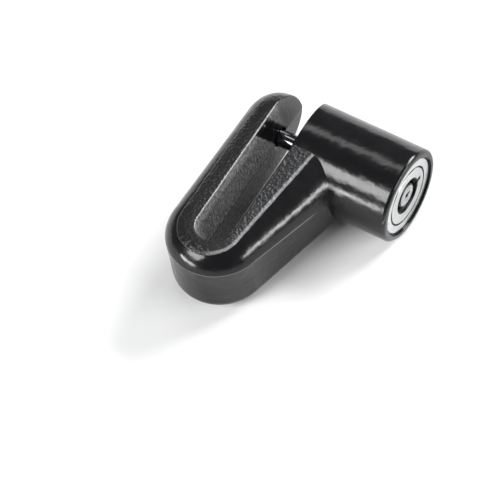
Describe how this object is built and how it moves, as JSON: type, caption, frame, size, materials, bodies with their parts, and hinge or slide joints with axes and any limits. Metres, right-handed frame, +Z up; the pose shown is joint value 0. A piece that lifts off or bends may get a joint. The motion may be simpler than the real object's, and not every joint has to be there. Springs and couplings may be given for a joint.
{
  "type": "disc brake lock",
  "caption": "U-shaped die-cast motorcycle disc lock: a push cylinder in a cross barrel drives a steel pin across the disc slot, freed by a tubular key.",
  "frame": {"origin": "where the locking pin's axis crosses the middle of the disc slot", "axes": "+X along the pin and barrel towards the key face, +Y along the slot towards its open end, +Z up out of the pebbled face"},
  "size_m": [0.0534, 0.0671, 0.028],
  "materials": {
    "body_paint": "gloss black paint, pebbled satin on the flat faces",
    "face_silver": "satin silver plate, faced on a lathe",
    "case_silver": "satin silver plate",
    "pin_chrome": "polished hardened steel",
    "core_steel": "turned steel",
    "spring_steel": "drawn spring steel",
    "lock_brass": "turned brass",
    "stack_brass": "turned brass pins"
  },
  "bodies": {
    "body": {"lock_body": "body_paint", "guide_pin": "spring_steel", "return_spring": "spring_steel"},
    "cylinder": {"cylinder_sleeve": "face_silver", "locking_pin": "pin_chrome", "cross_pin": "spring_steel", "lock_case": "case_silver", "pin_block": "lock_brass", "latch_spring": "spring_steel", "stack_springs": "spring_steel"},
    "plug": {"rotor": "core_steel", "retaining_clip": "spring_steel", "cam": "core_steel"},
    "latch": {"latch": "core_steel"},
    "drivers": {"driver_pin_1": "stack_brass", "driver_pin_2": "stack_brass", "driver_pin_3": "stack_brass", "driver_pin_4": "stack_brass", "driver_pin_5": "stack_brass", "driver_pin_6": "stack_brass", "driver_pin_7": "stack_brass"},
    "key_pin_1": {"key_pin_1": "stack_brass"},
    "key_pin_2": {"key_pin_2": "stack_brass"},
    "key_pin_3": {"key_pin_3": "stack_brass"},
    "key_pin_4": {"key_pin_4": "stack_brass"},
    "key_pin_5": {"key_pin_5": "stack_brass"},
    "key_pin_6": {"key_pin_6": "stack_brass"},
    "key_pin_7": {"key_pin_7": "stack_brass"}
  },
  "joints": [
    {"name": "cylinder_slide", "type": "slide", "parent": "body", "child": "cylinder", "axis": [1, 0, 0], "range_m": [0, 0.011], "deforming": ["return_spring"]},
    {"name": "plug_turn", "type": "hinge", "parent": "cylinder", "child": "plug", "pos_m": [0.0345, 0, 0], "axis": [1, 0, 0], "range_deg": [0, 90]},
    {"name": "latch_slide", "type": "slide", "parent": "cylinder", "child": "latch", "axis": [0, -1, 0], "range_m": [0, 0.00141], "deforming": ["latch_spring"]},
    {"name": "driver_slide", "type": "slide", "parent": "cylinder", "child": "drivers", "axis": [-1, 0, 0], "range_m": [0, 0.0005], "stiffness_N_per_m": 60, "deforming": ["stack_springs"]},
    {"name": "key_pin_1_slide", "type": "slide", "parent": "plug", "child": "key_pin_1", "axis": [-1, 0, 0], "range_m": [0, 0.0016], "stiffness_N_per_m": 20},
    {"name": "key_pin_2_slide", "type": "slide", "parent": "plug", "child": "key_pin_2", "axis": [-1, 0, 0], "range_m": [0, 0.0004]},
    {"name": "key_pin_3_slide", "type": "slide", "parent": "plug", "child": "key_pin_3", "axis": [-1, 0, 0], "range_m": [0, 0.0012]},
    {"name": "key_pin_4_slide", "type": "slide", "parent": "plug", "child": "key_pin_4", "axis": [-1, 0, 0], "range_m": [0, 0.0008]},
    {"name": "key_pin_5_slide", "type": "slide", "parent": "plug", "child": "key_pin_5", "axis": [-1, 0, 0], "range_m": [0, 0.0014]},
    {"name": "key_pin_6_slide", "type": "slide", "parent": "plug", "child": "key_pin_6", "axis": [-1, 0, 0], "range_m": [0, 0.0006]},
    {"name": "key_pin_7_slide", "type": "slide", "parent": "plug", "child": "key_pin_7", "axis": [-1, 0, 0], "range_m": [0, 0.001]}
  ],
  "couplings": [
    {"joint": "plug_turn", "follows": "latch_slide", "rad_per_m": 1110.7},
    {"joint": "key_pin_2_slide", "follows": "key_pin_1_slide", "ratio": 0.25},
    {"joint": "key_pin_3_slide", "follows": "key_pin_1_slide", "ratio": 0.75},
    {"joint": "key_pin_4_slide", "follows": "key_pin_1_slide", "ratio": 0.5},
    {"joint": "key_pin_5_slide", "follows": "key_pin_1_slide", "ratio": 0.875},
    {"joint": "key_pin_6_slide", "follows": "key_pin_1_slide", "ratio": 0.375},
    {"joint": "key_pin_7_slide", "follows": "key_pin_1_slide", "ratio": 0.625}
  ]
}
